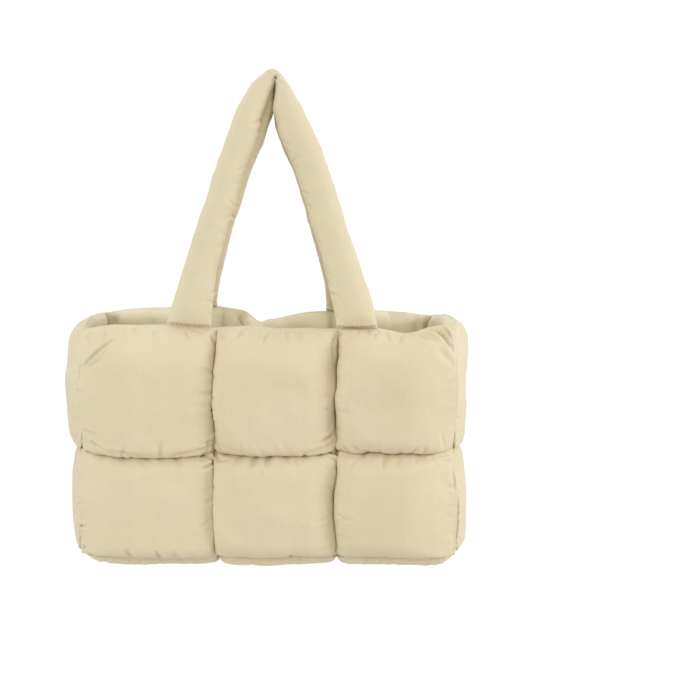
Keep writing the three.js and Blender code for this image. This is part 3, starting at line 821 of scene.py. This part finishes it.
# ---------------------------------------------------------------------------
# Fabric: satin woven nylon
# ---------------------------------------------------------------------------
def fabric(name, tone):
    m = bpy.data.materials.new(name)
    m.use_nodes = True
    nt = m.node_tree
    nodes, link = nt.nodes, nt.links.new
    bsdf = nodes["Principled BSDF"]
    bsdf.inputs["Sheen Weight"].default_value = 0.18
    bsdf.inputs["Sheen Roughness"].default_value = 0.45
    bsdf.inputs["Specular IOR Level"].default_value = 0.32

    def node(kind, **sets):
        n = nodes.new(kind)
        for k, v in sets.items():
            setattr(n, k, v)
        return n

    def math_node(op, a, b=None):
        n = node("ShaderNodeMath", operation=op)
        for i, v in enumerate((a, b)):
            if v is None:
                continue
            if isinstance(v, (int, float)):
                n.inputs[i].default_value = v
            else:
                link(v, n.inputs[i])
        return n.outputs[0]

    def noise_node(scale, detail, vector, rough=0.5):
        n = node("ShaderNodeTexNoise")
        n.inputs["Scale"].default_value = scale
        n.inputs["Detail"].default_value = detail
        n.inputs["Roughness"].default_value = rough
        link(vector, n.inputs["Vector"])
        return n.outputs["Fac"]

    # The cloth's own threads: millimetres along the warp and the weft.
    cloth = node("ShaderNodeAttribute", attribute_name="cloth", attribute_type="GEOMETRY").outputs["Vector"]
    split = node("ShaderNodeSeparateXYZ")
    link(cloth, split.inputs[0])
    place = node("ShaderNodeTexCoord").outputs["Object"]
    pitch = 2 * math.pi / 0.62
    warp = math_node("SINE", math_node("MULTIPLY", split.outputs[0], pitch))
    weft = math_node("SINE", math_node("MULTIPLY", split.outputs[1], pitch))
    weave = math_node("MULTIPLY", warp, weft)

    # Colour: dye a little uneven, yarns a little unlike, painted shade in the seams, painted light on the inside.
    dye = noise_node(14, 3, place)
    yarn = noise_node(420, 2, place)
    ramp = node("ShaderNodeValToRGB")
    ramp.color_ramp.elements[0].position, ramp.color_ramp.elements[1].position = 0.3, 0.72
    ramp.color_ramp.elements[0].color = (*[c * 0.965 for c in tone[:2]], tone[2] * 0.93, 1)
    ramp.color_ramp.elements[1].color = (*[min(1, c * 1.02) for c in tone], 1)
    link(dye, ramp.inputs[0])
    fleck = node("ShaderNodeMix", data_type="RGBA", blend_type="MULTIPLY")
    fleck.inputs["Factor"].default_value = 1.0
    link(ramp.outputs[0], fleck.inputs["A"])
    grain = node("ShaderNodeValToRGB")
    grain.color_ramp.elements[0].color = (0.955, 0.95, 0.94, 1)
    grain.color_ramp.elements[1].color = (1, 1, 1, 1)
    grain.color_ramp.elements[0].position, grain.color_ramp.elements[1].position = 0.25, 0.7
    link(math_node("ADD", math_node("MULTIPLY", yarn, 0.75), math_node("MULTIPLY", weave, 0.16)), grain.inputs[0])
    link(grain.outputs[0], fleck.inputs["B"])

    # Painted shade, darker in the quilting seams; the same darkening runs along the handles' stitch lines. Wear, rubbed
    # paler along the rim and the corners.
    wear_and_painted_shading_parts = node("ShaderNodeSeparateXYZ")
    link(node("ShaderNodeAttribute", attribute_name="wear_and_painted_shading", attribute_type="GEOMETRY").outputs["Vector"], wear_and_painted_shading_parts.inputs[0])
    broken = noise_node(160, 3, place, 0.6)
    painted_seam_shade = node("ShaderNodeMix", data_type="RGBA", blend_type="MULTIPLY")
    link(math_node("MULTIPLY", wear_and_painted_shading_parts.outputs[0], 0.3), painted_seam_shade.inputs["Factor"])
    link(fleck.outputs["Result"], painted_seam_shade.inputs["A"])
    painted_seam_shade.inputs["B"].default_value = (0.86, 0.83, 0.78, 1)
    pale = node("ShaderNodeMix", data_type="RGBA", blend_type="SCREEN")
    link(math_node("MULTIPLY", math_node("MULTIPLY", wear_and_painted_shading_parts.outputs[1], broken), 0.16), pale.inputs["Factor"])
    link(painted_seam_shade.outputs["Result"], pale.inputs["A"])
    pale.inputs["B"].default_value = (0.55, 0.53, 0.48, 1)
    # Painted light: the inside sheets are made lighter, standing in for light inside the bag; the inside is lined with
    # the same cloth.
    painted_inside_light = node("ShaderNodeMix", data_type="RGBA", blend_type="SCREEN")
    link(math_node("MULTIPLY", wear_and_painted_shading_parts.outputs[2], 0.36), painted_inside_light.inputs["Factor"])
    link(pale.outputs["Result"], painted_inside_light.inputs["A"])
    painted_inside_light.inputs["B"].default_value = (0.8, 0.70, 0.42, 1)
    link(painted_inside_light.outputs["Result"], bsdf.inputs["Base Color"])

    # Gloss: satin, worn a little duller in patches.
    shine = node("ShaderNodeMapRange")
    shine.inputs["To Min"].default_value, shine.inputs["To Max"].default_value = 0.52, 0.68
    link(noise_node(30, 4, place), shine.inputs["Value"])
    link(shine.outputs[0], bsdf.inputs["Roughness"])

    # Relief: weave, and a fine crinkle in the cloth.
    crinkle = noise_node(95, 4, place, 0.55)
    bump_a = node("ShaderNodeBump")
    bump_a.inputs["Strength"].default_value = 0.35
    bump_a.inputs["Distance"].default_value = 0.0011
    link(crinkle, bump_a.inputs["Height"])
    bump_b = node("ShaderNodeBump")
    bump_b.inputs["Strength"].default_value = 0.25
    bump_b.inputs["Distance"].default_value = 0.00009
    link(weave, bump_b.inputs["Height"])
    link(bump_a.outputs[0], bump_b.inputs["Normal"])
    link(bump_b.outputs[0], bsdf.inputs["Normal"])
    return m


def thread(name, tone):
    """Twisted sewing thread."""
    m = bpy.data.materials.new(name)
    m.use_nodes = True
    nodes, link = m.node_tree.nodes, m.node_tree.links.new
    bsdf = nodes["Principled BSDF"]
    bsdf.inputs["Roughness"].default_value = 0.5
    bsdf.inputs["Sheen Weight"].default_value = 0.2
    place = nodes.new("ShaderNodeTexCoord").outputs["Object"]
    twist = nodes.new("ShaderNodeTexWave")
    twist.bands_direction = "DIAGONAL"
    twist.inputs["Scale"].default_value = 520
    twist.inputs["Distortion"].default_value = 1.5
    link(place, twist.inputs["Vector"])
    ramp = nodes.new("ShaderNodeValToRGB")
    ramp.color_ramp.elements[0].color = (*[c * 0.6 for c in tone], 1)
    ramp.color_ramp.elements[1].color = (*tone, 1)
    link(twist.outputs["Fac"], ramp.inputs[0])
    link(ramp.outputs[0], bsdf.inputs["Base Color"])
    bump = nodes.new("ShaderNodeBump")
    bump.inputs["Strength"].default_value = 0.5
    bump.inputs["Distance"].default_value = 0.0002
    link(twist.outputs["Fac"], bump.inputs["Height"])
    link(bump.outputs[0], bsdf.inputs["Normal"])
    return m


TONE = (0.705, 0.618, 0.425)
SHELL = fabric("shell_nylon", TONE)
STRAP = fabric("handle_nylon", TONE)
THREAD = thread("sewing_thread", (0.42, 0.35, 0.22))


def bake_map(ob, groups, spots):
    """A flat map of a piece's cloth: spots(group, vertices) places the corners of each group of faces."""
    mesh = ob.data
    total = np.zeros(len(mesh.polygons), int)
    mesh.polygons.foreach_get("loop_total", total)
    corner = np.zeros(len(mesh.loops), int)
    mesh.loops.foreach_get("vertex_index", corner)
    if sum(groups) != len(total):
        raise ValueError("faces were lost from " + ob.name)
    group = np.repeat(np.repeat(np.arange(len(groups)), groups), total)
    face = np.repeat(np.arange(len(total)), total)
    uv = np.zeros((len(corner), 2))
    for g in range(len(groups)):
        on = group == g
        uv[on] = spots(g, corner[on], face[on])
    mesh.uv_layers.new(name="OFBake").data.foreach_set("uv", uv.astype(np.float32).ravel())


def panel_spots(outer, inner, rim):
    """Where a panel's cloth lies on its map: outside below, rim, inside above, and its hidden edges at the top."""
    (nv, nu), (mv, mu) = outer.shape[:2], inner.shape[:2]
    size, inside = nv * nu, mv * mu

    def spots(g, v, face):
        out, inn = v < size, (v >= size) & (v < size + inside)
        oj, oi = np.divmod(np.minimum(v, size - 1), nu)
        ij, ii = np.divmod(np.clip(v - size, 0, inside - 1), mu)
        lk, li = np.divmod(np.maximum(v - size - inside, 0), nu)
        across = np.where(out, oi / (nu - 1), np.where(inn, ii / (mu - 1), li / (nu - 1)))
        up = np.where(out, oj / (nv - 1), ij / (mv - 1))
        if g < 2:                        # sheets, rim and the join along the rim
            level = np.where(out, 0.01 + 0.55 * up, np.where(inn, 0.92 - 0.30 * up, 0.57 + 0.01 * lk))
            return np.stack([0.01 + 0.98 * across, level], -1)
        run = across if g == 2 else up
        return np.stack([0.01 + 0.98 * run, 0.935 + 0.02 * (g - 2) + np.where(out, 0.0, 0.012)], -1)
    return spots


pieces = {}
for name, cols, rows, mid, axes, out, inn, seed in PANELS:
    outer, inner = quilted(name, cols, rows, mid, axes, out, inn, seed)
    rim = name != "base_panel"
    marks = {"front_panel": FRONT_CREASES, "right_gusset": RIGHT_CREASES}.get(name, ())
    outer = creased(outer, cols, rows, axes[2], list(marks) + puckers(cols, rows, seed, rim), 0.5)
    if name == "back_panel":
        inner = flaps(creased(inner, cols, rows, -axes[2], BACK_FOLDS, 0.0), cols, rows, -axes[2], BACK_FLAPS)
    verts, faces = panel_mesh(name, outer, inner, axes[2], rim)
    ob = new_object("quilted_" + name, verts, faces, SHELL)
    (nv, nu), (mv, mu) = outer.shape[:2], inner.shape[:2]
    across, up = (mu - 1) + (nu - 1), (mv - 1) + (nv - 1)
    bake_map(ob, (len(faces) - 2 * across - 2 * up, across, across, up, up), panel_spots(outer, inner, rim))
    coords, wear_and_painted_shading = [], []
    for grid, level in ((outer, 0.0), (inner, 40.0)):
        u, v = np.meshgrid(np.linspace(0, cols * 126, grid.shape[1]), np.linspace(0, rows * 124, grid.shape[0]))
        coords.append(np.stack([u, v, np.full_like(u, level)], -1).reshape(-1, 3))
        a, b = u / 126, v / 124
        seam = np.minimum(np.abs(a - np.clip(np.round(a), 1, max(1, cols - 1))) * 126 if cols > 1 else 99.0,
                          np.abs(b - np.clip(np.round(b), 1, max(1, rows - 1))) * 124 if rows > 1 else 99.0)
        edge = np.minimum(np.minimum(u, cols * 126 - u), np.minimum(v, rows * 124 - v))
        # x: painted shade within 9 mm of the inner quilting seams; y: rubbed wear at the sheet's edges; z: marks the
        # inside for its painted light.
        wear_and_painted_shading.append(np.stack([np.clip(1 - seam / 9, 0, 1), np.clip(1 - edge / 7, 0, 1), 0 * u + (level > 0)], -1).reshape(-1, 3))
    if rim:
        line = coords[0].reshape(outer.shape)[-1]
        coords += [line + (0, 1 + k, 0) for k in range(4)]
        wear_and_painted_shading += [np.tile((0.0, 1.0, 0.0), (len(line), 1)) for k in range(4)]
    set_vector(ob, "cloth", np.concatenate(coords))
    set_vector(ob, "wear_and_painted_shading", np.concatenate(wear_and_painted_shading))
    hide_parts(name)
    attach(ob, "root")
    pieces[name] = ob

for name, side, seed in (("front_handle", -1, 1), ("rear_handle", 1, 2)):
    p, s = tube(side, seed)
    verts, faces = tube_mesh(p)
    ob = new_object("stuffed_" + name, verts, faces, STRAP)
    q = np.linspace(0, GIRTH, p.shape[1], endpoint=False)
    coords = np.stack([np.repeat(s, len(q)), np.tile(q, len(s)), np.zeros(len(s) * len(q))], -1)
    set_vector(ob, "cloth", np.concatenate([coords, [[0, 0, 0], [s[-1], 0, 0]]]))
    foot = np.minimum(coords[:, 0], s[-1] - coords[:, 0])
    inside = np.abs(coords[:, 1] - GIRTH / 2)
    outside = np.minimum(coords[:, 1], GIRTH - coords[:, 1])
    rub = np.clip(1 - np.minimum(inside, outside) / 9, 0, 1)
    # x: darker along the stitch line at each foot; y: rubbed wear at the tube's edges.
    wear_and_painted_shading = np.stack([np.clip(1 - np.abs(foot - STITCH_AT) / 2, 0, 1), rub, 0 * foot], -1)
    set_vector(ob, "wear_and_painted_shading", np.concatenate([wear_and_painted_shading, [[0, 1, 0], [0, 1, 0]]]))
    n_along, n_round = p.shape[:2]

    def spots(g, v, face):
        if g:                            # the sewn ends
            w = 2 * np.pi * (v % n_round) / n_round
            rim_ = v < n_along * n_round
            return np.stack([0.03 + 0.05 * (face >= len(faces) - n_round) + 0.018 * np.cos(w) * rim_,
                             0.97 + 0.018 * np.sin(w) * rim_], -1)
        j, i = np.divmod(v, n_round)
        i = np.where((i == 0) & (face % n_round == n_round - 1), n_round, i)
        return np.stack([0.01 + 0.98 * j / (n_along - 1), 0.01 + 0.92 * i / n_round], -1)

    bake_map(ob, (len(faces) - 2 * n_round, 2 * n_round), spots)
    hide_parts(name)
    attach(ob, "root")
    pieces[name] = ob
    verts, faces = stitches(p, s)
    ob = new_object(name + "_stitching", verts, faces, THREAD)
    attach(ob, "root")

# ---------------------------------------------------------------------------
# Stage, light and camera
# ---------------------------------------------------------------------------
scene = bpy.context.scene
scene.view_settings.view_transform = "Standard"

cam = bpy.data.cameras.new("camera")
cam.lens, cam.sensor_width = 55.0, 36.0
cam.shift_x = 80 / 700
cam_ob = bpy.data.objects.new("camera", cam)
scene.collection.objects.link(cam_ob)
cam_ob.location = (-0.0019, -1.0311, -0.12057)
cam_ob.rotation_euler = (math.radians(90 - 7.5), 0, 0)
scene.camera = cam_ob

AMBIENT = 0.9


def white_to_camera(tree, shader_in, dim):
    """A white backdrop that lights the bag only as much as dim."""
    path = tree.nodes.new("ShaderNodeLightPath")
    mix = tree.nodes.new("ShaderNodeMixShader")
    white = tree.nodes.new("ShaderNodeEmission" if dim.type != "BACKGROUND" else "ShaderNodeBackground")
    white.inputs["Color"].default_value = (1, 1, 1, 1)
    white.inputs["Strength"].default_value = 1.02
    tree.links.new(path.outputs["Is Camera Ray"], mix.inputs[0])
    tree.links.new(dim.outputs[0], mix.inputs[1])
    tree.links.new(white.outputs[0], mix.inputs[2])
    tree.links.new(mix.outputs[0], shader_in)


world = bpy.data.worlds.new("studio")
scene.world = world
world.use_nodes = True
back = world.node_tree.nodes["Background"]
back.inputs["Color"].default_value = (1, 1, 1, 1)
back.inputs["Strength"].default_value = AMBIENT
white_to_camera(world.node_tree, world.node_tree.nodes["World Output"].inputs["Surface"], back)

floor_mesh = bpy.data.meshes.new("floor")
r = 9.0
floor_mesh.from_pydata([(-r, -r, -1.4), (r, -r, -1.4), (r, r, -1.4), (-r, r, -1.4)], [], [(0, 1, 2, 3)])
floor = bpy.data.objects.new("floor", floor_mesh)
scene.collection.objects.link(floor)
paper = bpy.data.materials.new("floor_paper")
paper.use_nodes = True
paper.node_tree.nodes["Principled BSDF"].inputs["Base Color"].default_value = (0.62, 0.62, 0.62, 1)
paper.node_tree.nodes["Principled BSDF"].inputs["Roughness"].default_value = 0.9
white_to_camera(paper.node_tree, paper.node_tree.nodes["Material Output"].inputs["Surface"],
                paper.node_tree.nodes["Principled BSDF"])
floor_mesh.materials.append(paper)


def area(name, place, aim, size, power):
    from mathutils import Vector
    light = bpy.data.lights.new(name, "AREA")
    light.size = size
    light.energy = power
    ob = bpy.data.objects.new(name, light)
    scene.collection.objects.link(ob)
    ob.location = place
    ob.rotation_euler = (Vector(aim) - Vector(place)).to_track_quat("-Z", "Y").to_euler()
    return ob


area("key", (-2.0, -1.6, 0.1), (0, 0, -0.3), 1.3, 19)
area("side", (2.4, -0.6, 0.1), (0, 0, -0.3), 1.0, 26)
area("top", (0.2, 0.2, 2.2), (0, 0.02, -0.25), 1.2, 5)
